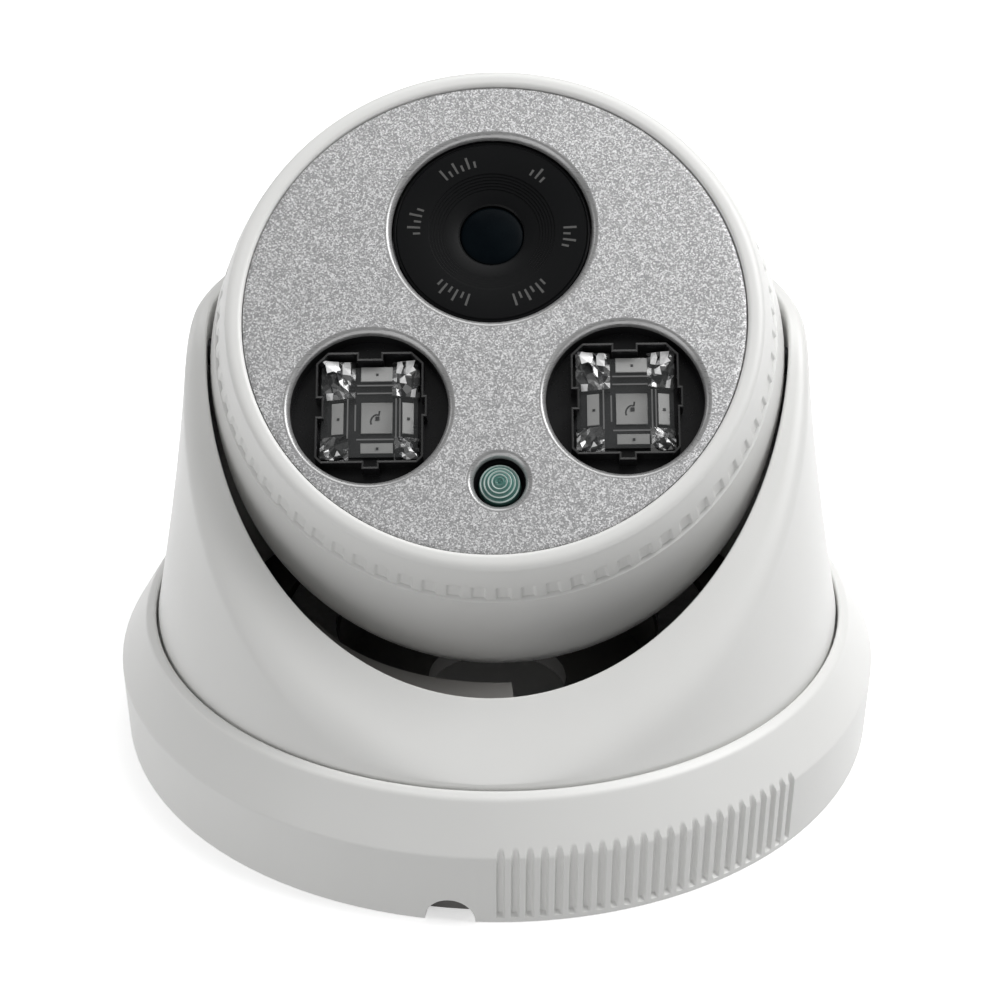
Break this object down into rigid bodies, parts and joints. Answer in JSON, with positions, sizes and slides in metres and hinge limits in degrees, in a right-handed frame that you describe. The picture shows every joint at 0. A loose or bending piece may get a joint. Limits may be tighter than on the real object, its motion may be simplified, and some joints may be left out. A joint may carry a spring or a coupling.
{
  "type": "dome cctv camera",
  "caption": "Turret dome camera: a round twist-lock base, a panning bell housing and a tilting, rolling eyeball head with lens, infrared arrays and light sensor.",
  "frame": {"origin": "centre of the mounting face, on the pan axis", "axes": "+Z along the pan axis, away from the mounting surface; the head looks towards -Y and +Z at rest; +X along the tilt axis, to the right seen from the front"},
  "size_m": [0.118, 0.118, 0.098],
  "materials": {
    "white_plastic": "fine matt moulded ABS, warm white",
    "inner_plastic": "moulded ABS, light grey",
    "washer_plastic": "natural acetal",
    "steel": "zinc plated",
    "rubber": "matt black",
    "silver_paint": "coarse silver sparkle paint",
    "black_plastic": "satin black",
    "black_metal": "black anodised",
    "lens_glass": "coated, dark blue",
    "filter_glass": "coated, teal",
    "chip": "black epoxy",
    "board_green": "green solder mask",
    "board_black": "black solder mask",
    "brass": "turned",
    "aluminium": "milled",
    "led_chip": "grey package with a small die",
    "clear_plastic": "clear moulded acrylic with prism corners",
    "teal_plastic": "translucent teal"
  },
  "bodies": {
    "base": {"base_plate": "inner_plastic", "pan_washer": "washer_plastic", "pan_retainer": "steel", "pan_retainer_screws": "steel"},
    "ring": {"base_ring": "white_plastic"},
    "turret": {"turret_housing": "white_plastic", "turret_floor": "inner_plastic", "turret_screws": "steel", "cable_guard": "inner_plastic", "tilt_friction_strip": "rubber", "pivot_screw_left": "steel", "pivot_screw_right": "steel"},
    "head": {"head_shell": "white_plastic", "head_cable_grommet": "rubber"},
    "front": {"front_ring": "white_plastic", "roll_retainer": "steel", "roll_retainer_screws": "steel", "face_plate": "silver_paint", "face_gasket": "rubber", "lens_trim": "black_plastic", "lens_barrel": "black_metal", "lens_front_element": "lens_glass", "lens_rear_element": "lens_glass", "lens_holder": "black_plastic", "image_sensor": "chip", "main_board": "board_green", "processor_chip": "chip", "board_connector": "washer_plastic", "board_standoffs": "brass", "board_screws": "steel", "ir_board": "board_black", "heat_spreader": "aluminium", "ir_led_left": "led_chip", "ir_led_right": "led_chip", "ir_lens_left": "clear_plastic", "ir_lens_right": "clear_plastic", "light_sensor": "chip", "light_sensor_lens": "teal_plastic"},
    "filter": {"day_night_filter": "filter_glass"}
  },
  "joints": [
    {"name": "ring_twist", "type": "hinge", "parent": "base", "child": "ring", "pos_m": [0, 0, 0], "axis": [0, 0, 1], "range_deg": [0, 18]},
    {"name": "pan", "type": "hinge", "parent": "base", "child": "turret", "pos_m": [0, 0, 0], "axis": [0, 0, 1], "range_deg": [-175, 175]},
    {"name": "tilt", "type": "hinge", "parent": "turret", "child": "head", "pos_m": [0, 0, 0.0601], "axis": [-1, 0, 0], "range_deg": [-33, 41]},
    {"name": "roll", "type": "hinge", "parent": "head", "child": "front", "pos_m": [0, 0, 0.0601], "axis": [0, -0.6665, 0.7455], "range_deg": [-175, 175]},
    {"name": "filter_shift", "type": "slide", "parent": "front", "child": "filter", "axis": [0.9984, 0.0416, 0.0372], "range_m": [-0.0066, 0]}
  ]
}
